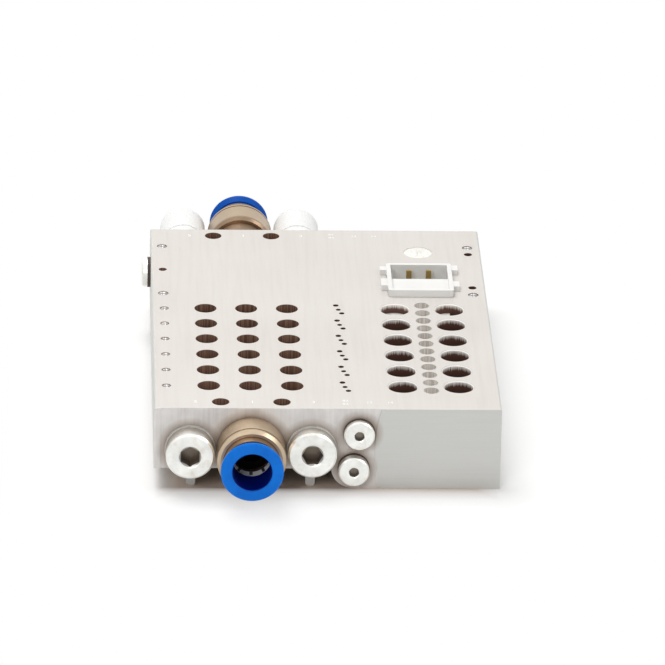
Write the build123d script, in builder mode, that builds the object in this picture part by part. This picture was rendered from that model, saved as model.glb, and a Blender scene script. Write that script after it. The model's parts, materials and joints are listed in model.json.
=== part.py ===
"""Six-station pneumatic valve island base with push-in fittings, plugs, silencers and a two-pole connector.

Frame: +X right, towards the thick side with the outlet bores, +Y to the rear, +Z up.
Origin: on the top face, in the middle of the four fixing holes.
"""
from build123d import *
import os

os.makedirs("parts", exist_ok=True)

# Block, an extruded aluminium profile that lies along Y
block_left = 26.0
block_right = 67.0
block_length = 124.0
block_height = 23.3
thin_underside = 5.7
corner_radius = 0.6
rib_width = 2.5
rib_offset = 16.05
rib_setback = 1.8
rib_corner = 0.8
block_front = -block_length / 2
block_rear = block_length / 2
base = -block_height

# Ports in both end faces, and what leads away from them
port_height = 11.5
port_z = base + port_height
exhaust_offset = 16.35
thread_radius = 4.86
thread_depth = 9.0
rail_radius = 4.0
mouth_chamfer = 0.4
thread_clearance = 0.04

# Pilot ports
pilot_upper_x = 28.9
pilot_upper_height = 16.2
pilot_upper_z = base + pilot_upper_height
pilot_lower_x = 27.6
pilot_boss_radius = 6.05
pilot_lower_z = base + pilot_boss_radius
pilot_thread_radius = 2.5
pilot_thread_depth = 6.0
pilot_channel_radius = 1.5
side_port_from_rear = 19.2
side_port_height = 18.3
side_port_y = block_rear - side_port_from_rear
side_port_z = base + side_port_height

# Fixing holes
fixing_spacing_x = 16.4
fixing_spacing_y = 115.0
fixing_radius = 2.35

# Valve stations
station_count = 6
station_pitch = 10.5
station_last_from_front = 15.15
supply_pitch = 11.25
supply_hole_radius = 3.05
outlet_inner_x = 41.1
outlet_outer_x = 56.15
outlet_radius = 3.9
outlet_depth = 13.0
outlet_chamfer = 0.3
contact_hole_x = 48.65
contact_hole_radius = 2.05
contact_hole_shift = station_pitch / 4
pilot_hole_depth = 6.0
pilot_holes = ((24.85, 2.45, 0.8), (25.45, -0.5, 0.7), (26.3, -3.0, 0.75))
valve_screw_x = -22.6
valve_screw_radius = 1.05
valve_screw_depth = 8.0
screw_chamfer = 0.25

# Connector, behind the rearmost station
rearmost_station_y = block_front + station_last_from_front + (station_count - 1) * station_pitch
connector_x = 48.8
connector_gap = 4.85
connector_width = 18.2
connector_length = 19.3
connector_y = rearmost_station_y + outlet_radius + connector_gap + connector_length / 2
connector_rear = connector_y + connector_length / 2
connector_proud = 2.0
connector_wall = 1.2
connector_radius = 0.8
connector_depth = 11.0
ledge_below_rim = 1.2
slot_length = 7.2
slot_depth = 9.2
tab_reach = 1.5
tab_overlap = 0.6
tab_height = 1.5
housing_tabs = ((-1, -2.6, 5.0), (-1, 7.2, 2.6), (1, -3.7, 3.6), (1, 7.7, 3.4))
contact_pitch = 5.5
contact_width = 1.5
contact_thickness = 0.7
contact_from_slot_rear = 2.5
contact_below_rim = 0.55
contact_clearance = 0.05

# Module screws round the connector
module_from_rear = 29.0
module_y = block_rear - module_from_rear
module_screw_left = -22.75
module_screw_right = 63.4
module_screw_spread = 16.8
module_screw_radius = 1.25
module_pin_spread = 11.9
module_pin_radius = 1.15
module_hole_depth = 8.0

# Shallow milled area on the front face, bounded on the right by an arc
milled_left = -24.25
milled_right_top = 34.9
milled_right_middle = 33.2
milled_right_foot = 34.8
milled_depth = 0.3

# Cavity for the electronics, its cover and the potted hole
piece_clearance = 0.1
cavity_left = 35.5
cavity_right = 62.5
cavity_from_front = 8.0
cavity_behind_connector = 6.3
cavity_front = block_front + cavity_from_front
cavity_rear = connector_rear + cavity_behind_connector
cavity_corner = 2.0
cavity_depth = 8.0
cover_thickness = 1.5
cover_recess = 0.2
cover_step = 1.2
cover_land = 6.0
cover_post_radius = 1.5
cover_post_inset = 4.0
cover_screw_inset = 3.0
cover_screw_radius = 1.0
cover_screw_length = 5.0
cover_screw_head_radius = 1.9
cover_screw_head = 0.8
board_thickness = 1.6
board_margin = 0.4
fill_x = 49.3
fill_before_middle = 1.65
fill_y = (connector_rear + block_rear) / 2 - fill_before_middle
fill_radius = 4.05
fill_depth = 1.2
fill_below_top = 0.25

# Push-in fittings for a 10 mm tube
body_radius = 9.2
body_length_front = 9.3
body_length_rear = 11.0
body_chamfer = 0.7
body_rim = 0.8
body_groove = 0.35
body_groove_width = 0.6
body_groove_back = 1.6
neck_radius = 7.5
passage_radius = 3.2
stud_length = 8.5
cartridge_radius = 6.5
ring_radius = 8.4
ring_reach_front = 15.7
ring_reach_rear = 19.0
ring_flange = 1.0
ring_cone = 1.2
ring_cone_radius = 7.4
ring_travel = 1.4
ring_bore_radius = 5.2
ring_sleeve_radius = 6.2
ring_edge = 0.4
ring_barb = 0.2
ring_barb_length = 0.8
running_clearance = 0.08
stop_gap = 0.05
stop_wall = 1.8
seal_length = 1.8
grip_length = 1.3
grip_sheet = 0.35
grip_slots = 10
grip_slot_depth = 0.9
grip_slot_width = 0.9
release_gap = 0.2
nipple_length = 15.0
nipple_radius = 7.75
nipple_chamfer = 0.5
washer_offset = 0.6
washer_width = 1.4
washer_depth = 0.8

# Screw plugs: heads, sockets and sealing rings
plug_radius = 6.55
plug_head = 3.8
plug_seal = 0.9
plug_seal_radius = 6.8
plug_hex = 5.0
plug_hex_depth = 3.6
plug_chamfer = 0.5
plug_extra_left = 1.1
hex_lead_in = 0.07
small_plug_radius = 4.15
small_plug_head = 1.6
small_plug_seal = 0.9
small_seal_radius = 4.25
small_plug_hex = 2.5
small_plug_hex_depth = 1.5
small_plug_chamfer = 0.35
small_plug_extra_lower = 0.9
pilot_stud_length = 5.0

# Silencers in the rear exhaust ports
silencer_radius = 6.45
silencer_length = 29.6
silencer_waist = 15.8
silencer_waist_width = 0.6
silencer_waist_depth = 0.35
silencer_wall = 1.5
silencer_edge = 1.0

# Blanking discs in the rearmost station's outlet bores
blank_below_top = 2.75
blank_cut = 0.4
blank_cut_depth = 5.0
fit_clearance = 0.05

UP = Vector(0, 0, 1)
FORWARD = Vector(0, -1, 0)
BACKWARD = Vector(0, 1, 0)
LEFTWARD = Vector(-1, 0, 0)

station_rows = [block_front + station_last_from_front + station_pitch * row for row in range(station_count)]


def finish(builder, name):
    """Labels a finished piece and writes its file."""
    builder.part.label = name
    export_step(builder.part, f"parts/{name}.step")


def radial_plane(seat, outward):
    """Plane with its local X away from a port's axis and its local Y out of the port."""
    return Plane(origin=seat, x_dir=UP, z_dir=UP.cross(outward))


def turned(points, seat, outward, mode=Mode.ADD):
    """Revolves an outline of (radius, distance out of the port) corners about the port's axis."""
    with BuildSketch(radial_plane(seat, outward)) as outline:
        with BuildLine():
            Polyline(*points, close=True)
        make_face()
    revolve(outline.sketch, Axis(seat, outward), mode=mode)


def hex_socket(size, depth, reach, seat, outward, turn):
    """Cuts a hexagon socket, size across its flats, into a head whose face is at reach."""
    face = Plane(origin=Vector(seat) + outward * reach, x_dir=UP, z_dir=outward)
    lead_in = size * hex_lead_in
    with BuildSketch(face) as hexagon:
        RegularPolygon(size / 2, 6, major_radius=False, rotation=turn)
    extrude(hexagon.sketch, amount=-depth, mode=Mode.SUBTRACT)
    turned(((0, reach - lead_in), (size / 2, reach - lead_in), (size / 2 + 2 * lead_in, reach), (0, reach)),
           seat, outward, Mode.SUBTRACT)


def screw_plug(name, seat, outward, head_radius, head, seal, extra, stud_radius, stud, hexagon, hexagon_depth,
               edge, seal_radius, turn):
    """A screw plug with a round head and a hexagon socket, and the sealing ring under its head."""
    reach = seal + head + extra
    core = stud_radius - thread_clearance
    with BuildPart() as plug:
        turned(((0, -stud), (core - edge, -stud), (core, -stud + edge), (core, seal), (head_radius, seal),
                (head_radius, reach - edge), (head_radius - edge, reach), (0, reach)), seat, outward)
        hex_socket(hexagon, hexagon_depth, reach, seat, outward, turn)
    finish(plug, name)
    with BuildPart() as ring:
        turned(((stud_radius, 0), (seal_radius, 0), (seal_radius, seal), (stud_radius, seal)), seat, outward)
    finish(ring, f"{name}_seal")


def thread_washer(name, seat, outward):
    """The flat sealing ring that sits in the foot of a fitting, round its thread."""
    inner = thread_radius + washer_offset
    with BuildPart() as washer:
        turned(((inner, 0), (inner + washer_width, 0), (inner + washer_width, washer_depth),
                (inner, washer_depth)), seat, outward)
    finish(washer, name)


def foot_outline(stud, outer):
    """The corners that a fitting's stud and its foot with the washer groove share, from the bore outwards."""
    inner = thread_radius + washer_offset
    return ((passage_radius, -stud_length), (stud, -stud_length), (stud, 0), (inner, 0),
            (inner, washer_depth), (inner + washer_width, washer_depth), (inner + washer_width, 0), (outer, 0))


def push_in_fitting(side, seat, outward, body_length, ring_reach):
    """A push-in fitting with its tube seal, grip ring, thread washer and sliding release ring."""
    flange_back = ring_reach - ring_flange
    cone_back = flange_back - ring_cone
    neck_end = cone_back - ring_travel - release_gap
    groove_end = body_length - body_groove_back
    groove_radius = body_radius - body_groove
    seal_end = stop_wall + seal_length
    grip_end = seal_end + grip_length
    sleeve_end = grip_end + ring_travel + release_gap
    cartridge_end = sleeve_end + ring_barb_length + stop_gap
    sleeve_bore = ring_sleeve_radius + running_clearance

    with BuildPart() as body:
        turned(foot_outline(thread_radius - thread_clearance, body_radius - body_chamfer)
               + ((body_radius, body_chamfer), (body_radius, groove_end - body_groove_width),
                  (groove_radius, groove_end - body_groove_width), (groove_radius, groove_end),
                  (body_radius, groove_end), (body_radius, body_length - body_rim),
                  (body_radius - body_rim, body_length), (neck_radius, body_length), (neck_radius, neck_end),
                  (sleeve_bore, neck_end), (sleeve_bore, cartridge_end), (cartridge_radius, cartridge_end),
                  (cartridge_radius, stop_wall), (passage_radius, stop_wall)), seat, outward)
    finish(body, f"{side}_fitting_body")

    with BuildPart() as tube_seal:
        turned(((ring_bore_radius, stop_wall), (cartridge_radius, stop_wall), (cartridge_radius, seal_end),
                (ring_bore_radius, seal_end)), seat, outward)
    finish(tube_seal, f"{side}_tube_seal")

    with BuildPart() as grip:
        turned(((ring_bore_radius, seal_end), (ring_bore_radius + grip_sheet, seal_end),
                (cartridge_radius, grip_end - grip_sheet), (cartridge_radius, grip_end),
                (cartridge_radius - grip_sheet, grip_end)), seat, outward)
        with BuildSketch(Plane(origin=Vector(seat) + outward * seal_end, x_dir=UP, z_dir=outward)):
            with PolarLocations((ring_bore_radius + cartridge_radius) / 2 - grip_sheet, grip_slots):
                Rectangle(grip_slot_depth, grip_slot_width)
        extrude(amount=grip_length, mode=Mode.SUBTRACT)
    finish(grip, f"{side}_grip_ring")

    with BuildPart() as ring:
        turned(((ring_bore_radius, sleeve_end), (ring_sleeve_radius + ring_barb, sleeve_end),
                (ring_sleeve_radius + ring_barb, sleeve_end + ring_barb_length),
                (ring_sleeve_radius, sleeve_end + ring_barb_length), (ring_sleeve_radius, cone_back),
                (ring_cone_radius, cone_back), (ring_radius, flange_back), (ring_radius, ring_reach),
                (ring_bore_radius, ring_reach)), seat, outward)
        rim = ring.edges().filter_by(GeomType.CIRCLE).group_by(Axis(seat, outward))[-1]
        chamfer(rim, ring_edge)
    finish(ring, f"{side}_release_ring")

    thread_washer(f"{side}_thread_washer", seat, outward)


def silencer(name, seat, outward):
    """A sintered silencer: threaded collar, waist groove and a closed, rounded sleeve."""
    stud = thread_radius - thread_clearance
    waist = silencer_radius - silencer_waist_depth
    waist_end = silencer_waist + silencer_waist_width
    bore = silencer_radius - silencer_wall
    with BuildPart() as sleeve:
        turned(((passage_radius, -stud_length), (stud, -stud_length), (stud, 0), (silencer_radius, 0),
                (silencer_radius, silencer_waist), (waist, silencer_waist), (waist, waist_end),
                (silencer_radius, waist_end), (silencer_radius, silencer_length), (0, silencer_length),
                (0, silencer_length - silencer_wall), (bore, silencer_length - silencer_wall),
                (bore, silencer_wall), (passage_radius, silencer_wall)), seat, outward)
        rim = sleeve.edges().filter_by(GeomType.CIRCLE).group_by(Axis(seat, outward))[-1]
        chamfer(rim, silencer_edge)
    finish(sleeve, name)


def port(x, y, z, outward):
    """Location of a port's mouth, from which a hole is drilled inwards."""
    return Location(Plane(origin=(x, y, z), x_dir=UP, z_dir=outward))


# Manifold block
front_seat = block_front + milled_depth
board_top = base + cavity_depth
rebate_depth = cover_recess + cover_thickness
rebate_roof = base + rebate_depth
cavity_x = (cavity_left + cavity_right) / 2
cavity_y = (cavity_front + cavity_rear) / 2
cavity_width = cavity_right - cavity_left
cavity_length = cavity_rear - cavity_front
rebate_width = cavity_width + 2 * cover_step
rebate_length = cavity_length + 2 * cover_land
screw_spacing_x = rebate_width - 2 * cover_screw_inset
screw_spacing_y = rebate_length - 2 * cover_screw_inset

with BuildPart() as block:
    with BuildSketch(Plane.XZ.offset(-block_front)) as profile:
        with Locations((-block_left, base + thin_underside)):
            Rectangle(block_left + pilot_lower_x, block_height - thin_underside, align=(Align.MIN, Align.MIN))
        with Locations((pilot_lower_x, base)):
            Rectangle(block_right - pilot_lower_x, block_height, align=(Align.MIN, Align.MIN))
        with Locations((pilot_lower_x, pilot_lower_z)):
            Circle(pilot_boss_radius)
        fillet(profile.vertices().group_by(Axis.Y)[-1], corner_radius)
    extrude(amount=-block_length)
    with BuildSketch(Plane.XZ.offset(-block_front - rib_setback)) as ribs:
        with Locations((-rib_offset, base), (rib_offset, base)):
            Rectangle(rib_width, thin_underside, align=(Align.CENTER, Align.MIN))
        fillet(ribs.vertices().group_by(Axis.Y)[0], rib_corner)
    extrude(amount=-(block_length - 2 * rib_setback))

    with BuildSketch(Plane.XZ.offset(-block_front)):
        with BuildLine():
            Line((milled_left, base), (milled_right_foot, base))
            ThreePointArc((milled_right_foot, base), (milled_right_middle, base / 2), (milled_right_top, 0))
            Polyline((milled_right_top, 0), (milled_left, 0), (milled_left, base))
        make_face()
    extrude(amount=-milled_depth, mode=Mode.SUBTRACT)

    with BuildSketch(Plane.XY.offset(base)):
        with Locations((cavity_x, cavity_y)):
            RectangleRounded(rebate_width, rebate_length, cavity_corner)
    extrude(amount=rebate_depth, mode=Mode.SUBTRACT)
    with BuildSketch(Plane.XY.offset(base)):
        with Locations((cavity_x, cavity_y)):
            RectangleRounded(cavity_width, cavity_length, cavity_corner)
    extrude(amount=cavity_depth, mode=Mode.SUBTRACT)
    with BuildSketch(Plane.XY):
        with Locations((connector_x, connector_y)):
            RectangleRounded(connector_width + 2 * piece_clearance, connector_length + 2 * piece_clearance,
                             connector_radius + piece_clearance)
    extrude(amount=-(block_height - cavity_depth), mode=Mode.SUBTRACT)

    # Ports 5, 1 and 3, drilled from both ends into rails that run the whole length
    for x in (-exhaust_offset, 0, exhaust_offset):
        with Locations(port(x, front_seat, port_z, FORWARD)):
            CounterSinkHole(rail_radius, thread_radius + mouth_chamfer, block_length)
            CounterSinkHole(thread_radius, thread_radius + mouth_chamfer, thread_depth)
        with Locations(port(x, block_rear, port_z, BACKWARD)):
            CounterSinkHole(thread_radius, thread_radius + mouth_chamfer, thread_depth)

    # Pilot ports and channels
    pilot_seats = ((pilot_upper_x, front_seat, pilot_upper_z, FORWARD, side_port_y - front_seat),
                   (pilot_lower_x, front_seat, pilot_lower_z, FORWARD, block_length - thread_depth),
                   (-block_left, side_port_y, side_port_z, LEFTWARD, block_left + pilot_upper_x))
    for x, y, z, outward, channel in pilot_seats:
        with Locations(port(x, y, z, outward)):
            Hole(pilot_channel_radius, channel)
            CounterSinkHole(pilot_thread_radius, pilot_thread_radius + screw_chamfer, pilot_thread_depth)

    # Valve stations
    for y in station_rows:
        with Locations(*((x, y, 0) for x in (-supply_pitch, 0, supply_pitch))):
            Hole(supply_hole_radius, -port_z)
        with Locations((outlet_inner_x, y, 0), (outlet_outer_x, y, 0)):
            CounterSinkHole(outlet_radius, outlet_radius + outlet_chamfer, outlet_depth)
        with Locations((contact_hole_x, y - contact_hole_shift, 0),
                       (contact_hole_x, y + contact_hole_shift, 0)):
            Hole(contact_hole_radius, block_height - cavity_depth)
        for x, shift, radius in pilot_holes:
            with Locations((x, y + shift, 0)):
                Hole(radius, pilot_hole_depth)
        with Locations((valve_screw_x, y, 0)):
            CounterSinkHole(valve_screw_radius, valve_screw_radius + screw_chamfer, valve_screw_depth)

    # Fixing holes, module screws and the hole for the potting fill
    with Locations((0, 0, 0)):
        with GridLocations(fixing_spacing_x, fixing_spacing_y, 2, 2):
            Hole(fixing_radius)
    with Locations(*((x, module_y + side * module_screw_spread, 0)
                     for x in (module_screw_left, module_screw_right) for side in (-1, 1))):
        CounterSinkHole(module_screw_radius, module_screw_radius + screw_chamfer, module_hole_depth)
    with Locations((module_screw_left, module_y, 0), (module_screw_right, module_y - module_pin_spread, 0),
                   (module_screw_right, module_y + module_pin_spread, 0)):
        Hole(module_pin_radius, module_hole_depth)
    with Locations((fill_x, fill_y, 0)):
        Hole(fill_radius, fill_depth)
    with Locations(Plane(origin=(cavity_x, cavity_y, rebate_roof), z_dir=(0, 0, -1))):
        with GridLocations(screw_spacing_x, screw_spacing_y, 2, 2):
            Hole(cover_screw_radius, cover_screw_length)
finish(block, "manifold_block")

# Fittings in port 1
push_in_fitting("front", (0, front_seat, port_z), FORWARD, body_length_front, ring_reach_front)

rear_seat = (0, block_rear, port_z)
with BuildPart() as nipple:
    turned(foot_outline(thread_radius - thread_clearance, nipple_radius)
           + ((nipple_radius, nipple_length - nipple_chamfer),
              (nipple_radius - nipple_chamfer, nipple_length), (thread_radius, nipple_length),
              (thread_radius, nipple_length - thread_depth), (passage_radius, nipple_length - thread_depth)),
           rear_seat, BACKWARD)
finish(nipple, "rear_nipple")
thread_washer("nipple_thread_washer", rear_seat, BACKWARD)
push_in_fitting("rear", (0, block_rear + nipple_length, port_z), BACKWARD, body_length_rear, ring_reach_rear)

# Screw plugs in the front exhaust ports and the pilot ports
for name, x, extra, turn in (("left", -exhaust_offset, plug_extra_left, 0), ("right", exhaust_offset, 0, 30)):
    screw_plug(f"exhaust_plug_{name}", (x, front_seat, port_z), FORWARD, plug_radius, plug_head, plug_seal,
               extra, thread_radius, stud_length, plug_hex, plug_hex_depth, plug_chamfer,
               plug_seal_radius, turn)

for name, seat, outward, extra in (
        ("upper", (pilot_upper_x, front_seat, pilot_upper_z), FORWARD, 0),
        ("lower", (pilot_lower_x, front_seat, pilot_lower_z), FORWARD, small_plug_extra_lower),
        ("side", (-block_left, side_port_y, side_port_z), LEFTWARD, 0)):
    screw_plug(f"pilot_plug_{name}", seat, outward, small_plug_radius, small_plug_head, small_plug_seal,
               extra, pilot_thread_radius, pilot_stud_length, small_plug_hex, small_plug_hex_depth,
               small_plug_chamfer, small_seal_radius, 15)

# Silencers in the rear exhaust ports
for name, x in (("left", -exhaust_offset), ("right", exhaust_offset)):
    silencer(f"silencer_{name}", (x, block_rear, port_z), BACKWARD)

# Connector: an open-topped housing with a deep slot along its rear wall, and two flat contacts
housing_floor = -connector_depth
inner_width = connector_width - 2 * connector_wall
inner_rear = connector_y + connector_length / 2 - connector_wall
inner_length = connector_length - 2 * connector_wall
slot_y = inner_rear - slot_length / 2
contact_y = inner_rear - contact_from_slot_rear
contact_places = [(connector_x - contact_pitch / 2, contact_y), (connector_x + contact_pitch / 2, contact_y)]

with BuildPart() as housing:
    with BuildSketch(Plane.XY.offset(housing_floor)):
        with Locations((connector_x, connector_y)):
            RectangleRounded(connector_width, connector_length, connector_radius)
    extrude(amount=connector_proud - housing_floor)
    with BuildSketch(Plane.XY):
        for side, shift, length in housing_tabs:
            with Locations((connector_x + side * (connector_width + tab_reach) / 2, connector_y + shift)):
                Rectangle(tab_reach + tab_overlap, length)
    extrude(amount=tab_height)
    with BuildSketch(Plane.XY.offset(connector_proud)):
        with Locations((connector_x, inner_rear - inner_length / 2)):
            Rectangle(inner_width, inner_length)
    extrude(amount=-ledge_below_rim, mode=Mode.SUBTRACT)
    with BuildSketch(Plane.XY.offset(connector_proud)):
        with Locations((connector_x, slot_y)):
            Rectangle(inner_width, slot_length)
    extrude(amount=-slot_depth, mode=Mode.SUBTRACT)
    with BuildSketch(Plane.XY.offset(housing_floor)):
        with Locations(*contact_places):
            Rectangle(contact_width + 2 * contact_clearance, contact_thickness + 2 * contact_clearance)
    extrude(amount=connector_depth, mode=Mode.SUBTRACT)
finish(housing, "connector_housing")

for name, place in zip(("left", "right"), contact_places):
    with BuildPart() as contact:
        with BuildSketch(Plane.XY.offset(board_top)):
            with Locations(place):
                Rectangle(contact_width, contact_thickness)
        extrude(amount=connector_proud - contact_below_rim - board_top)
        chamfer(contact.edges().group_by(Axis.Z)[-1], contact_thickness * 0.2)
    finish(contact, f"contact_{name}")

# Circuit board under the contacts, and the cover that closes the cavity from below
with BuildPart() as board:
    with BuildSketch(Plane.XY.offset(board_top)):
        with Locations((cavity_x, cavity_y)):
            RectangleRounded(cavity_width - 2 * board_margin, cavity_length - 2 * board_margin,
                             cavity_corner - board_margin)
    extrude(amount=-board_thickness)
finish(board, "circuit_board")

with BuildPart() as cover:
    with BuildSketch(Plane.XY.offset(base + cover_recess)):
        with Locations((cavity_x, cavity_y)):
            RectangleRounded(rebate_width - 2 * piece_clearance, rebate_length - 2 * piece_clearance,
                             cavity_corner - piece_clearance)
    extrude(amount=cover_thickness)
    with BuildSketch(Plane.XY.offset(rebate_roof)):
        with Locations((cavity_x, cavity_y)):
            with GridLocations(cavity_width - 2 * cover_post_inset, cavity_length / 2 - cover_post_inset,
                               2, 3):
                Circle(cover_post_radius)
    extrude(amount=board_top - board_thickness - rebate_roof)
    with Locations(Plane(origin=(cavity_x, cavity_y, base + cover_recess), z_dir=(0, 0, -1))):
        with GridLocations(screw_spacing_x, screw_spacing_y, 2, 2):
            CounterBoreHole(cover_screw_radius + piece_clearance, cover_screw_head_radius + piece_clearance,
                            cover_screw_head, cover_thickness)
finish(cover, "bottom_cover")

with BuildPart() as cover_screws:
    head_top = base + cover_recess + cover_screw_head
    for radius, start, end in ((cover_screw_head_radius, base + cover_recess, head_top),
                               (cover_screw_radius - thread_clearance, head_top,
                                rebate_roof + cover_screw_length - screw_chamfer)):
        with BuildSketch(Plane.XY.offset(start)):
            with Locations((cavity_x, cavity_y)):
                with GridLocations(screw_spacing_x, screw_spacing_y, 2, 2):
                    Circle(radius)
        extrude(amount=end - start)
finish(cover_screws, "cover_screws")

# Potting fill, and the blanking discs of the rearmost station
with BuildPart() as fill:
    with Locations((fill_x, fill_y, -fill_depth)):
        Cylinder(fill_radius - fit_clearance, fill_depth - fill_below_top,
                 align=(Align.CENTER, Align.CENTER, Align.MIN))
finish(fill, "potting_fill")

for name, x in (("inner", outlet_inner_x), ("outer", outlet_outer_x)):
    with BuildPart() as blank:
        with Locations((x, station_rows[-1], -outlet_depth)):
            Cylinder(outlet_radius - fit_clearance, outlet_depth - blank_below_top,
                     align=(Align.CENTER, Align.CENTER, Align.MIN))
        if name == "outer":
            with Locations((x + blank_cut, station_rows[-1], -blank_below_top)):
                Box(outlet_radius * 2, outlet_radius * 2, blank_cut_depth,
                    align=(Align.MIN, Align.CENTER, Align.MAX), mode=Mode.SUBTRACT)
    finish(blank, f"outlet_blank_{name}")
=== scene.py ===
import bpy, bmesh, json, math, random
from mathutils import Matrix, Vector


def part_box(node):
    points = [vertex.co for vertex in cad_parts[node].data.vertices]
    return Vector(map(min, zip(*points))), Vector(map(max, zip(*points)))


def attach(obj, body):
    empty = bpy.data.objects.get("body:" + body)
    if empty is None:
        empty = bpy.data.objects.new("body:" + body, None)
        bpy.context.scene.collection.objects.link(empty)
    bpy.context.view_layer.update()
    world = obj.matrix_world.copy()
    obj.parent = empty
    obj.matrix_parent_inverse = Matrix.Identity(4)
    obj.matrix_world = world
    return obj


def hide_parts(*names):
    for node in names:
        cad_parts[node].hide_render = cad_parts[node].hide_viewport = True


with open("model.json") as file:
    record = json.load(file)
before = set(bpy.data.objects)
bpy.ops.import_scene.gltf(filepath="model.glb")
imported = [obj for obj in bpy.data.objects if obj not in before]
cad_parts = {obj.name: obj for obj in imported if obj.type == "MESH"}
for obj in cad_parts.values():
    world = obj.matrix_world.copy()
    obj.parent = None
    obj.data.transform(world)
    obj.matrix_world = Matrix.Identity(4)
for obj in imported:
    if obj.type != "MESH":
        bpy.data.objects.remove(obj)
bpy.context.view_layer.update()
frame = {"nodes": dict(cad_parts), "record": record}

random.seed(7)
mm = 0.001
print("frame loaded:", len(frame["nodes"]), "nodes")

# camera, lamps and floor come first
shot = {
    "aim": (0.0237, -0.0017, -0.0039),
    "distance": 1.868,
    "heading": -2.46,
    "elevation": 23.5,
    "roll": 1.31,
    "lens": 367.0,
}
studio = {
    "fill": 0.36,
    "lamps": [
        # name, place, size, watts
        ("keyLamp", (-0.25, 0.35, 1.15), 0.7, 11.0),
        ("rightLamp", (0.90, -0.40, 0.80), 0.5, 3.0),
        ("frontLamp", (-0.42, -1.12, 0.70), 0.45, 4.2),
    ],
    "floorSize": 6,
    "floorColour": (0.93, 0.92, 0.91, 1),
    # painted shadow on the floor round the block: its colour and its spread
    "floorContactShadow": (0.58, 0.475, 0.40, 1),
    "contactShadowSpread": 0.007,
    "liftNear": 0.16,
    "liftEdge": 0.003,
    "liftFar": 1.0,
    "liftSpread": 0.040,
}


def deg(value):
    return math.radians(value)


def addCamera():
    turn = (Matrix.Rotation(deg(shot["heading"]), 3, "Z") @ Matrix.Rotation(deg(90 - shot["elevation"]), 3, "X")
            @ Matrix.Rotation(deg(shot["roll"]), 3, "Z"))
    back = turn @ Vector((0, 0, shot["distance"]))
    data = bpy.data.cameras.new("shotCamera")
    data.lens = shot["lens"]
    data.sensor_width = 36
    data.clip_end = 20
    camera = bpy.data.objects.new("shotCamera", data)
    camera.location = Vector(shot["aim"]) + back
    camera.rotation_euler = turn.to_euler()
    bpy.context.collection.objects.link(camera)
    bpy.context.scene.camera = camera


def addLamps():
    for name, place, size, watts in studio["lamps"]:
        data = bpy.data.lights.new(name, "AREA")
        data.energy = watts
        data.size = size
        lamp = bpy.data.objects.new(name, data)
        lamp.location = place
        lamp.rotation_euler = (Vector(shot["aim"]) - Vector(place)).to_track_quat("-Z", "Y").to_euler()
        bpy.context.collection.objects.link(lamp)


blockLow, blockHigh = [Vector(corner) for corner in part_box("manifold_block")]
blockMiddle = (blockLow + blockHigh) / 2
addCamera()
addLamps()
bpy.context.scene.view_settings.view_transform = "Standard"
print("camera and lamps placed")


class Maths:
    # wraps a value socket, so that masks can be written as sums
    def __init__(self, tree, socket):
        self.tree, self.socket = tree, socket

    def op(self, operation, *others, clamp=False):
        node = self.tree.nodes.new("ShaderNodeMath")
        node.operation = operation
        node.use_clamp = clamp
        for slot, item in zip(node.inputs, (self,) + others):
            if isinstance(item, Maths):
                self.tree.links.new(item.socket, slot)
            else:
                slot.default_value = item
        return Maths(self.tree, node.outputs[0])

    def flipped(self, operation, other):
        node = self.tree.nodes.new("ShaderNodeMath")
        node.operation = operation
        node.inputs[0].default_value = other
        self.tree.links.new(self.socket, node.inputs[1])
        return Maths(self.tree, node.outputs[0])

    def __add__(self, other): return self.op("ADD", other)
    def __radd__(self, other): return self.op("ADD", other)
    def __sub__(self, other): return self.op("SUBTRACT", other)
    def __rsub__(self, other): return self.flipped("SUBTRACT", other)
    def __mul__(self, other): return self.op("MULTIPLY", other)
    def __rmul__(self, other): return self.op("MULTIPLY", other)
    def __truediv__(self, other): return self.op("DIVIDE", other)
    def __gt__(self, other): return self.op("GREATER_THAN", other)
    def __lt__(self, other): return self.op("LESS_THAN", other)
    def __abs__(self): return self.op("ABSOLUTE")

    def ramp(self, low, high):
        # 0 below low, 1 above high
        return ((self - low) / (high - low)).op("ADD", 0.0, clamp=True)


class Finish:
    # one material with its Principled shader
    def __init__(self, name):
        self.material = bpy.data.materials.new(name)
        self.material.use_nodes = True
        self.tree = self.material.node_tree
        self.shader = self.tree.nodes["Principled BSDF"]
        self.place = self.tree.nodes.new("ShaderNodeTexCoord").outputs["Object"]

    def node(self, kind, settings=None, sockets=None):
        made = self.tree.nodes.new(kind)
        for key, value in (settings or {}).items():
            setattr(made, key, value)
        for key, value in (sockets or {}).items():
            self.feed(made.inputs[key], value)
        return made

    def feed(self, slot, value):
        if isinstance(value, Maths):
            self.tree.links.new(value.socket, slot)
        elif isinstance(value, bpy.types.NodeSocket):
            self.tree.links.new(value, slot)
        else:
            slot.default_value = value

    def set(self, **values):
        for key, value in values.items():
            self.feed(self.shader.inputs[key.replace("_", " ")], value)

    def axes(self):
        split = self.node("ShaderNodeSeparateXYZ", sockets={"Vector": self.place})
        return [Maths(self.tree, out) for out in split.outputs]

    def stretched(self, scale):
        return self.node("ShaderNodeMapping", sockets={"Vector": self.place, "Scale": scale}).outputs["Vector"]

    def noise(self, scale, detail=3.0, roughness=0.55, vector=None):
        made = self.node("ShaderNodeTexNoise", sockets={
            "Vector": vector or self.place, "Scale": scale, "Detail": detail, "Roughness": roughness})
        return Maths(self.tree, made.outputs["Fac"])

    def mixColour(self, mask, first, second):
        made = self.node("ShaderNodeMix", {"data_type": "RGBA"})
        self.feed(made.inputs["Factor"], mask)
        self.feed(made.inputs[6], first)
        self.feed(made.inputs[7], second)
        return made.outputs[2]

    def bump(self, height, strength, distance):
        sockets = {"Strength": strength, "Distance": distance, "Height": height}
        return self.node("ShaderNodeBump", sockets=sockets).outputs["Normal"]


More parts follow.
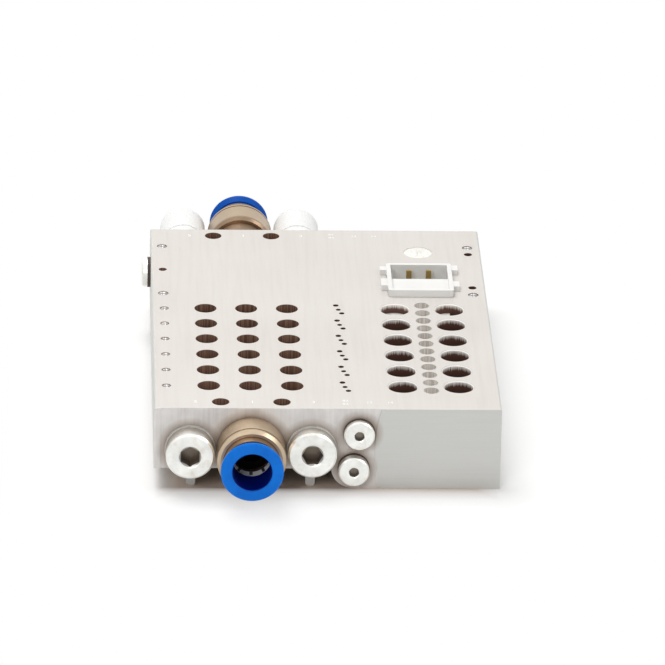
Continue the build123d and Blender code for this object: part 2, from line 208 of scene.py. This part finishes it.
portAxis = (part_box("front_fitting_body")[0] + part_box("front_fitting_body")[1]) / 2
socketNodes = ["exhaust_plug_left", "exhaust_plug_right", "pilot_plug_upper", "pilot_plug_lower"]
endNodes = socketNodes + ["front_fitting_body", "rear_fitting_body", "silencer_left", "silencer_right"]


def fromAxis(x, z, centre):
    # distance from an axis that lies along Y
    return ((x - centre.x) * (x - centre.x) + (z - centre.z) * (z - centre.z)).op("SQRT")


def blockMaterial():
    look = {
        "top": (0.635, 0.605, 0.57, 1), "topWorn": (0.55, 0.515, 0.48, 1),
        "front": (0.61, 0.61, 0.585, 1), "frontWorn": (0.53, 0.53, 0.505, 1),
        "milled": (0.76, 0.74, 0.72, 1), "milledWorn": (0.58, 0.55, 0.53, 1),
        # the bright lip colour is a painted highlight; the brown is the drilled walls' colour
        "rim": (0.95, 0.91, 0.86, 1), "hole": (0.11, 0.045, 0.03, 1),
        # the deep hole colour is painted shade at the bottom of the drilled holes
        "holeDeepShade": (0.010, 0.005, 0.004, 1), "topSkin": 0.02 * mm, "wallInset": 0.3 * mm,
        "airHole": (0.165, 0.080, 0.050, 1), "airStreak": (0.36, 0.22, 0.155, 1),
        # the deep air hole colour is painted shade at the bottom of the air holes
        "airHoleDeepShade": (0.07, 0.03, 0.02, 1),
        "socket": (0.95, 0.92, 0.88, 1), "socketDark": (0.62, 0.57, 0.52, 1),
        "milledLeft": -30.0 * mm, "milledRight": 33.2 * mm, "milledSag": 1.7 * mm,
        "frontSkin": 0.45 * mm, "holeDepth": 0.1 * mm, "underside": 5.9 * mm,
        "socketLeft": 46.4 * mm, "socketRight": 50.9 * mm, "socketRear": 11.0 * mm, "airHoleEdge": 23.0 * mm,
        "sideHoleEdge": 60.5 * mm, "pilotHoleEdge": 30.0 * mm,
        # painted shade round the screwed-in parts: its colour and its spread
        "grime": (0.26, 0.18, 0.125, 1), "grimeSpread": 2.6 * mm,
    }
    f = Finish("blastedAluminium")
    x, y, z = f.axes()
    grain = f.noise(2600.0, 2.0)
    cloud = f.noise(26.0, 4.0)
    blotch = f.noise(110.0, 3.0)
    scratches = f.noise(700.0, 3.0, 0.6, f.stretched((1.0, 0.04, 1.0)))
    millLines = f.noise(1500.0, 2.0, 0.6, f.stretched((0.03, 1.0, 1.0)))
    crossLines = f.noise(1500.0, 2.0, 0.6, f.stretched((1.0, 1.0, 0.04)))
    drillLines = f.noise(2400.0, 1.0, 0.5, f.stretched((1.0, 1.0, 0.02)))

    topSkin = z > blockHigh.z - look["topSkin"]
    frontSkin = y < blockLow.y + look["frontSkin"]
    inside = ((x > blockLow.x + look["frontSkin"]) * (x < blockHigh.x - look["frontSkin"])
              * (y > blockLow.y + look["frontSkin"] + look["wallInset"]) * (y < blockHigh.y - look["frontSkin"])
              * (z > blockLow.z + look["underside"]) * (z < blockHigh.z - look["holeDepth"]))
    # the arc that bounds the milled area on the front
    rise = (z - blockMiddle.z) / (blockHigh.z - blockMiddle.z)
    milled = frontSkin * (x < rise * rise * look["milledSag"] + look["milledRight"]) * (x > look["milledLeft"])

    topWear = cloud.ramp(0.35, 0.75) * 0.4 + scratches.ramp(0.45, 0.75) * 0.35
    sideWear = cloud.ramp(0.3, 0.8) * 0.4 + millLines.ramp(0.45, 0.8) * 0.3
    topColour = f.mixColour(topWear, look["top"], look["topWorn"])
    sideColour = f.mixColour(sideWear, look["front"], look["frontWorn"])
    colour = f.mixColour(topSkin, sideColour, topColour)
    milledColour = f.mixColour(crossLines.ramp(0.40, 0.72) * 0.35 + blotch.ramp(0.42, 0.70) * 0.65,
                               look["milled"], look["milledWorn"])
    colour = f.mixColour(milled, colour, milledColour)
    # painted shade: a brown contact shadow is painted round the parts that are screwed into the two ends, blotched
    # by noise
    ends = frontSkin + (y > blockHigh.y - look["frontSkin"])
    for node in endNodes:
        low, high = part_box(node)
        reach = (high.z - low.z) / 2
        shadeNearPart = 1 - fromAxis(x, z, (low + high) / 2).ramp(reach, reach + look["grimeSpread"])
        sameEnd = y < 0 if low.y < 0 else y > 0
        colour = f.mixColour(ends * sameEnd * shadeNearPart * (blotch * 0.5 + 0.45), colour, look["grime"])

    # drilled walls: a painted highlight on the lip over drill marks, then brown, then painted shade down to black
    depth = blockHigh.z - z
    # painted highlight: a bright band near the top of each drilled wall, ragged by drill marks
    lipHighlightMask = 1 - (depth + (drillLines - 0.5) * (1.6 * mm)).ramp(0.5 * mm, 1.5 * mm)
    lipHighlightMask = lipHighlightMask * (x < look["sideHoleEdge"]) * (x > look["pilotHoleEdge"])
    # painted shade: the walls darken from brown to black with depth
    wall = f.mixColour(depth.ramp(1.5 * mm, 6.5 * mm), look["hole"], look["holeDeepShade"])
    airStreaks = f.mixColour(drillLines.ramp(0.40, 0.62) * 0.85, look["airHole"], look["airStreak"])
    # painted shade: the air holes darken with depth
    airWall = f.mixColour(depth.ramp(0.8 * mm, 6.0 * mm), airStreaks, look["airHoleDeepShade"])
    wall = f.mixColour(x < look["airHoleEdge"], f.mixColour(lipHighlightMask, wall, look["rim"]), airWall)
    socketZone = (x > look["socketLeft"]) * (x < look["socketRight"]) * (y < look["socketRear"])
    socketWall = f.mixColour(drillLines.ramp(0.35, 0.70), look["socketDark"], look["socket"])
    wall = f.mixColour(socketZone, wall, socketWall)
    colour = f.mixColour(inside, colour, wall)
    rough = 0.46 + grain * 0.12 - milled * 0.06 + inside * 0.04
    normal = f.bump(grain * 0.5 + scratches * 0.4 + blotch * milled * 0.6, 0.14, 0.05 * mm)
    f.set(Base_Color=colour, Roughness=rough, Metallic=0.3 - inside * 0.18, Normal=normal)
    return f.material


def turnedMetal(name, colour, dark, roughness, ringPitch, metallic=0.9):
    # fine tool marks run round the part's own axis, which lies along Y
    f = Finish(name)
    tool = f.noise(1.0 / ringPitch, 2.0, 0.5, f.stretched((0.06, 1.0, 0.06)))
    cloud = f.noise(160.0, 3.0)
    colourOut = f.mixColour(cloud.ramp(0.35, 0.75) * 0.6 + tool.ramp(0.45, 0.7) * 0.3, colour, dark)
    rough = roughness + tool * 0.10 + cloud * 0.06
    normal = f.bump(tool, 0.18, 0.05 * mm)
    f.set(Base_Color=colourOut, Roughness=rough, Metallic=metallic, Normal=normal)
    return f.material


def brassMaterial():
    # the neck colour is painted shade, used on the neck and on the rear body's foot
    look = {"bright": (0.61, 0.49, 0.35, 1), "dull": (0.40, 0.30, 0.20, 1), "neckShade": (0.25, 0.165, 0.105, 1),
            # the inside colour is painted shade for the bore
            "inside": (0.012, 0.008, 0.006, 1), "neckRadius": 7.7 * mm, "insideRadius": 6.6 * mm, "stud": 8.5 * mm}
    f = Finish("nickelPlatedBrass")
    x, y, z = f.axes()
    tool = f.noise(6200.0, 2.0, 0.5, f.stretched((0.06, 1.0, 0.06)))
    cloud = f.noise(160.0, 3.0)
    reach = fromAxis(x, z, portAxis)
    colour = f.mixColour(cloud.ramp(0.35, 0.75) * 0.5 + tool.ramp(0.45, 0.7) * 0.3, look["bright"], look["dull"])
    # painted shade: the plating is painted duller towards the bottom, and dark brown on the neck
    low = (portAxis.z + 3.0 * mm - z).ramp(0.0, 8.0 * mm) * 0.6
    colour = f.mixColour(low, colour, look["dull"])
    # painted shade: the rear fitting is painted duller than the front one
    colour = f.mixColour((y > 0.0) * 0.5, colour, look["dull"])
    # shaded foot of the rear body, where it meets its nipple
    foot = 1 - (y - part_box("rear_fitting_body")[0].y - look["stud"]).ramp(1.2 * mm, 2.0 * mm)
    colour = f.mixColour((y > 0.0) * foot * 0.85, colour, look["neckShade"])
    # painted shade: the neck between the body and the release ring is painted dark brown
    colour = f.mixColour(reach < look["neckRadius"], colour, look["neckShade"])
    # painted shade: the bore inside the fitting is painted near black
    colour = f.mixColour(reach < look["insideRadius"], colour, look["inside"])
    f.set(Base_Color=colour, Roughness=0.27 + tool * 0.10 + cloud * 0.06, Metallic=0.9,
          Normal=f.bump(tool, 0.18, 0.05 * mm))
    return f.material


def blueMaterial():
    # the bore colour is painted shade inside the ring
    look = {"blue": (0.0, 0.168, 0.68, 1), "shade": (0.0, 0.130, 0.58, 1), "bore": (0.0, 0.008, 0.17, 1),
            # the rear colour is painted shade for the rear ring
            "rear": (0.0, 0.045, 0.32, 1), "boreRadius": 5.35 * mm,
            "specular": 0.15}
    f = Finish("blueReleasePlastic")
    x, y, z = f.axes()
    grain = f.noise(1500.0, 3.0)
    cloud = f.noise(240.0, 3.0)
    colour = f.mixColour(cloud.ramp(0.35, 0.7), look["blue"], look["shade"])
    # painted shade: the rear ring is painted a darker blue than the front one
    colour = f.mixColour((y > 0.0) * 0.7, colour, look["rear"])
    # painted shade: the bore of the ring is painted dark blue
    colour = f.mixColour(fromAxis(x, z, portAxis) < look["boreRadius"], colour, look["bore"])
    f.set(Base_Color=colour, Roughness=0.40 + grain * 0.10, Normal=f.bump(grain, 0.2, 0.03 * mm))
    f.shader.inputs["Specular IOR Level"].default_value = look["specular"]
    return f.material


def moulded(name, colour, shade, roughness, grainScale, grainDepth, coat=0.0):
    f = Finish(name)
    grain = f.noise(grainScale, 3.0)
    cloud = f.noise(90.0, 2.0)
    colourOut = f.mixColour(cloud.ramp(0.35, 0.7) * 0.7, colour, shade)
    normal = f.bump(grain, 0.25, grainDepth * mm)
    f.set(Base_Color=colourOut, Roughness=roughness + grain * 0.08, Normal=normal, Coat_Weight=coat)
    return f.material


def sinteredMaterial():
    f = Finish("sinteredPolymer")
    beads = f.node("ShaderNodeTexVoronoi", sockets={"Vector": f.place, "Scale": 1900.0})
    beadHeight = Maths(f.tree, beads.outputs["Distance"])
    cloud = f.noise(120.0, 3.0)
    shade = beadHeight.ramp(0.2, 0.9) * 0.5 + cloud * 0.1
    colour = f.mixColour(shade, (0.88, 0.88, 0.87, 1), (0.70, 0.70, 0.69, 1))
    normal = f.bump(1 - beadHeight, 0.5, 0.12 * mm)
    f.set(Base_Color=colour, Roughness=0.72 + cloud * 0.1, Normal=normal)
    return f.material


def zincMaterial():
    look = {"bright": (0.95, 0.95, 0.91, 1), "dull": (0.80, 0.805, 0.77, 1), "warm": (0.66, 0.58, 0.46, 1),
            # the flank and socket colours are painted shade
            "flankShade": (0.30, 0.245, 0.20, 1), "socket": (0.085, 0.055, 0.030, 1), "socketShare": 0.52}
    f = Finish("zincPlatedSteel")
    x, y, z = f.axes()
    cloud = f.noise(260.0, 3.0)
    fine = f.noise(2200.0, 2.0)
    rings = f.noise(1800.0, 2.0, 0.5, f.stretched((0.1, 1.0, 0.1)))
    plain = f.mixColour(cloud.ramp(0.35, 0.65), look["bright"], look["dull"])
    tint = f.mixColour(f.noise(420.0, 2.0).ramp(0.50, 0.72) * 0.45, plain, look["warm"])
    # painted shade: the hexagon sockets are painted dark, darker deeper in, and the flanks of each cap are painted
    # darker too
    for node in socketNodes:
        low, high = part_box(node)
        centre = (low + high) / 2
        reach = (high.z - low.z) / 2
        sunk = (fromAxis(x, z, centre) < reach * look["socketShare"]) * (y > low.y + 0.12 * mm)
        own = fromAxis(x, z, centre) < reach * 1.05
        flankShade = (y - low.y).ramp(0.5 * mm, 3.2 * mm) * 0.6 * own * (1 - sunk)
        tint = f.mixColour(flankShade, tint, look["flankShade"])
        deep = (y - low.y).ramp(0.2 * mm, 2.0 * mm) * 0.25 + 0.66
        tint = f.mixColour(sunk * deep, tint, look["socket"])
    normal = f.bump(fine * 0.6 + rings * 0.4, 0.16, 0.06 * mm)
    f.set(Base_Color=tint, Roughness=0.27 + fine * 0.14, Metallic=0.85, Normal=normal)
    return f.material


def sealMaterial(name, colour, shade):
    f = Finish(name)
    cloud = f.noise(600.0, 3.0)
    f.set(Base_Color=f.mixColour(cloud.ramp(0.3, 0.7), colour, shade), Roughness=0.62 + cloud * 0.15,
          Normal=f.bump(cloud, 0.3, 0.05 * mm))
    return f.material


def boardMaterial():
    f = Finish("boardLaminate")
    weave = f.node("ShaderNodeTexWave", {"wave_type": "BANDS", "bands_direction": "DIAGONAL"},
                   {"Vector": f.place, "Scale": 700.0, "Distortion": 1.5})
    colour = f.mixColour(Maths(f.tree, weave.outputs["Fac"]) * 0.5, (0.03, 0.16, 0.07, 1), (0.05, 0.24, 0.11, 1))
    f.set(Base_Color=colour, Roughness=0.35 + f.noise(500.0) * 0.1)
    return f.material


def floorMaterial():
    f = Finish("paleFloor")
    cloud = f.noise(6.0, 2.0)
    colour = f.mixColour(cloud, studio["floorColour"], (0.91, 0.905, 0.90, 1))
    # the floor is left to its own light near the block and goes to plain white further out
    x, y = f.axes()[:2]
    besideX = (abs(x - blockMiddle.x) - (blockHigh.x - blockLow.x) / 2).op("MAXIMUM", 0.0)
    besideY = (abs(y - blockMiddle.y) - (blockHigh.y - blockLow.y) / 2).op("MAXIMUM", 0.0)
    distance = (besideX * besideX + besideY * besideY).op("SQRT")
    away = distance.ramp(0.0, studio["liftSpread"]).op("SQRT")
    insideX = (blockHigh.x - blockLow.x) / 2 - abs(x - blockMiddle.x)
    clear = distance.ramp(0.0, studio["contactShadowSpread"]).op("MAXIMUM", 1 - insideX.ramp(0.0, studio["contactShadowSpread"]))
    clear = clear.op("MAXIMUM", y > 0.0)
    # painted shadow: the floor is painted warm brown close round and under the block, except behind it
    colour = f.mixColour(clear, studio["floorContactShadow"], colour)
    f.set(Base_Color=colour, Roughness=0.75)
    rays = f.node("ShaderNodeLightPath")
    seen = Maths(f.tree, rays.outputs["Is Camera Ray"]) + Maths(f.tree, rays.outputs["Is Glossy Ray"])
    seen = (seen + Maths(f.tree, rays.outputs["Is Transmission Ray"])).op("MINIMUM", 1.0)
    glow = f.node("ShaderNodeEmission", sockets={"Color": (1, 1, 1, 1), "Strength": 1.0})
    blend = f.node("ShaderNodeMixShader")
    near = distance.ramp(0.0, studio["liftEdge"]) * studio["liftNear"]
    f.feed(blend.inputs["Fac"], seen * (away * (studio["liftFar"] - studio["liftNear"]) + near))
    f.feed(blend.inputs[1], f.shader.outputs["BSDF"])
    f.feed(blend.inputs[2], glow.outputs["Emission"])
    f.tree.links.new(blend.outputs["Shader"], f.tree.nodes["Material Output"].inputs["Surface"])
    return f.material


def addWorld():
    world = bpy.data.worlds.new("whiteStudio")
    bpy.context.scene.world = world
    world.use_nodes = True
    tree = world.node_tree
    background = tree.nodes["Background"]
    background.inputs["Color"].default_value = (1, 1, 1, 1)
    rays = tree.nodes.new("ShaderNodeLightPath")
    # camera and mirror rays meet plain white, and the fill lights the rest
    seen = Maths(tree, rays.outputs["Is Camera Ray"]) + Maths(tree, rays.outputs["Is Glossy Ray"])
    seen = (seen + Maths(tree, rays.outputs["Is Transmission Ray"])).op("MINIMUM", 1.0)
    strength = seen * (1 - studio["fill"]) + studio["fill"]
    tree.links.new(strength.socket, background.inputs["Strength"])


def addFloor():
    bpy.ops.object.select_all(action="DESELECT")
    bpy.ops.mesh.primitive_plane_add(size=studio["floorSize"], location=(0, 0, blockLow.z))
    floor = bpy.context.object
    bpy.ops.object.transform_apply(location=True)
    floor.name = "studioFloor"
    floor.data.materials.append(floorMaterial())


addWorld()
addFloor()
print("world and floor ready")

finishes = {
    "aluminium_block": blockMaterial(),
    "nickel_brass": brassMaterial(),
    "zinc_steel": zincMaterial(),
    "seal_rubber": sealMaterial("darkSealRubber", (0.035, 0.022, 0.016, 1), (0.07, 0.05, 0.04, 1)),
    "seal_ring": sealMaterial("paleSealRing", (0.62, 0.61, 0.58, 1), (0.48, 0.47, 0.44, 1)),
    "release_blue": blueMaterial(),
    "grip_steel": turnedMetal("brightSpringSteel", (1.0, 1.0, 0.98, 1), (0.86, 0.86, 0.84, 1),
                              0.22, 0.2 * mm, 0.3),
    "silencer_white": sinteredMaterial(),
    "connector_white": moulded("whiteConnectorPlastic", (0.80, 0.795, 0.775, 1), (0.73, 0.72, 0.70, 1),
                               0.38, 900.0, 0.03, 0.1),
    "contact_brass": turnedMetal("brightContactBrass", (0.40, 0.29, 0.10, 1), (0.28, 0.19, 0.06, 1), 0.25, 0.2 * mm),
    "board_green": boardMaterial(),
    "cover_black": moulded("blackCoverPlastic", (0.03, 0.03, 0.032, 1), (0.05, 0.05, 0.05, 1), 0.55, 700.0, 0.06),
    "screw_steel": turnedMetal("screwSteel", (0.58, 0.58, 0.57, 1), (0.45, 0.45, 0.44, 1), 0.3, 0.2 * mm),
    "potting": moulded("castPotting", (0.86, 0.85, 0.80, 1), (0.72, 0.71, 0.66, 1), 0.35, 500.0, 0.2, 0.3),
}


def dressNodes():
    slots = {entry["node"]: entry["material_slot"] for entry in frame["record"]["subparts"]}
    for node, piece in frame["nodes"].items():
        item = piece if isinstance(piece, bpy.types.Object) else bpy.data.objects[piece]
        material = finishes[slots[node]]
        if item.material_slots:
            for place in item.material_slots:
                place.material = material
        else:
            item.data.materials.append(material)


dressNodes()
print("nodes dressed")


def clearSelection():
    if bpy.context.object and bpy.context.object.mode != "OBJECT":
        bpy.ops.object.mode_set(mode="OBJECT")
    bpy.ops.object.select_all(action="DESELECT")


def settle(piece, name, finish, body="island", node=None):
    # applies a new piece's place, names it and hangs it on its body
    clearSelection()
    piece.select_set(True)
    bpy.context.view_layer.objects.active = piece
    bpy.ops.object.transform_apply(location=True, rotation=True, scale=True)
    piece.name = name
    piece.data.materials.clear()
    piece.data.materials.append(finishes[finish])
    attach(piece, body)
    if node:
        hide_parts(node)


def engravedMaterial():
    f = Finish("engravedNumbers")
    cloud = f.noise(900.0, 2.0)
    f.set(Base_Color=f.mixColour(cloud.ramp(0.3, 0.7), (0.93, 0.92, 0.90, 1), (0.80, 0.78, 0.75, 1)),
          Roughness=0.55 + cloud * 0.1, Metallic=0.2)
    return f.material


portNumbers = {
    # text, x and size; the same row stands at the front and at the rear edge
    "marks": [("5", -14.9, 2.2), ("1", 0.3, 2.2), ("3", 16.6, 2.2), ("82", 25.2, 1.6), ("84", 25.2, 1.6),
              ("12", 31.6, 1.6), ("14", 37.2, 1.6)],
    "drops": {"82": 0.5, "84": -0.5}, "lineGap": 2.2,
    "frontY": -57.6, "rearY": 57.6, "proud": 0.03,
}


def addPortNumbers():
    made = []
    for edge in ("frontY", "rearY"):
        for text, x, size in portNumbers["marks"]:
            clearSelection()
            drop = portNumbers["drops"].get(text, 0) * portNumbers["lineGap"]
            bpy.ops.object.text_add(location=(x * mm, (portNumbers[edge] + drop) * mm, blockHigh.z))
            mark = bpy.context.object
            mark.data.body = text
            mark.data.size = size * mm
            mark.data.align_x = "CENTER"
            mark.data.align_y = "CENTER"
            mark.data.extrude = portNumbers["proud"] * mm
            bpy.ops.object.convert(target="MESH")
            made.append(bpy.context.object)
    clearSelection()
    for mark in made:
        mark.select_set(True)
    bpy.context.view_layer.objects.active = made[0]
    bpy.ops.object.join()
    finishes["engraved"] = engravedMaterial()
    piece = bpy.context.object
    clearSelection()
    piece.select_set(True)
    bpy.ops.object.transform_apply(location=True, rotation=True, scale=True)
    piece.name = "portNumbers"
    piece.data.materials.clear()
    piece.data.materials.append(finishes["engraved"])
    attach(piece, "island")


potting = {"sides": 40, "rings": 5, "lumpHeight": 0.32 * mm, "hump": 0.18 * mm}


def addPotting():
    # cast resin that set in lumps, with facets that catch the light
    low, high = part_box("potting_fill")
    centre = (Vector(low) + Vector(high)) / 2
    radius = (high[0] - low[0]) / 2
    clearSelection()
    bpy.ops.mesh.primitive_cylinder_add(vertices=potting["sides"], radius=radius, depth=high[2] - low[2],
                                        location=centre)
    lump = bpy.context.object
    bpy.ops.object.transform_apply(location=True)
    bpy.ops.object.mode_set(mode="EDIT")
    bpy.ops.mesh.select_all(action="DESELECT")
    shape = bmesh.from_edit_mesh(lump.data)
    for face in shape.faces:
        face.select_set(face.normal.z > 0.9)
    bmesh.update_edit_mesh(lump.data)
    for turn in range(potting["rings"]):
        bpy.ops.mesh.inset(thickness=radius / (potting["rings"] + 0.6), depth=0)
    bpy.ops.object.mode_set(mode="OBJECT")
    for vertex in lump.data.vertices:
        reach = (vertex.co.xy - centre.xy).length / radius
        if vertex.co.z > centre.z and reach < 0.97:
            lift = random.uniform(-0.4, 1.0) * potting["lumpHeight"] * (1 - reach * 0.6)
            vertex.co.z += lift + potting["hump"] * (1 - reach * reach)
    settle(lump, "pottingLump", "potting", node="potting_fill")


threads = {
    # tapped holes: the four module screws, then one screw for each valve
    "moduleX": (-22.75, 63.4), "moduleY": (49.8, 16.2), "moduleRadius": 1.25, "moduleTurns": 7,
    "valveX": -22.6, "valveFirstY": -46.85, "valvePitch": 10.5, "valveRows": 6,
    "valveRadius": 1.05, "valveTurns": 6,
    "pitch": 0.5 * mm, "height": 0.20 * mm, "firstDepth": 0.45 * mm, "steps": 24,
}


def tappedHoles():
    # place, thread radius and turns of each tapped hole
    holes = [(x, y, threads["moduleRadius"], threads["moduleTurns"])
             for x in threads["moduleX"] for y in threads["moduleY"]]
    return holes + [(threads["valveX"], threads["valveFirstY"] + threads["valvePitch"] * row,
                     threads["valveRadius"], threads["valveTurns"]) for row in range(threads["valveRows"])]


def addThreads():
    # one ring of thread is spun from a three-sided profile and repeated down each hole
    made = []
    for xHole, yHole, radius, turns in tappedHoles():
        centre = Vector((xHole * mm, yHole * mm, blockHigh.z - threads["firstDepth"]))
        clearSelection()
        bpy.ops.mesh.primitive_circle_add(vertices=3, radius=threads["height"],
                                          location=centre + Vector((radius * mm, 0, 0)),
                                          rotation=(math.pi / 2, 0, 0))
        ridge = bpy.context.object
        bpy.ops.object.transform_apply(location=True, rotation=True)
        bpy.ops.object.mode_set(mode="EDIT")
        bpy.ops.mesh.select_all(action="SELECT")
        bpy.ops.mesh.spin(steps=threads["steps"], angle=2 * math.pi, center=centre, axis=(0, 0, 1))
        bpy.ops.mesh.select_all(action="SELECT")
        bpy.ops.mesh.remove_doubles(threshold=0.005 * mm)
        bpy.ops.mesh.normals_make_consistent(inside=False)
        bpy.ops.object.mode_set(mode="OBJECT")
        repeat = ridge.modifiers.new("turns", "ARRAY")
        repeat.count = turns
        repeat.use_relative_offset = False
        repeat.use_constant_offset = True
        repeat.constant_offset_displace = (0, 0, -threads["pitch"])
        bpy.ops.object.modifier_apply(modifier=repeat.name)
        made.append(ridge)
    clearSelection()
    for ridge in made:
        ridge.select_set(True)
    bpy.context.view_layer.objects.active = made[0]
    bpy.ops.object.join()
    settle(bpy.context.object, "tappedThreads", "screw_steel")


addPortNumbers()
addPotting()
addThreads()
print("numbers, potting and threads added")
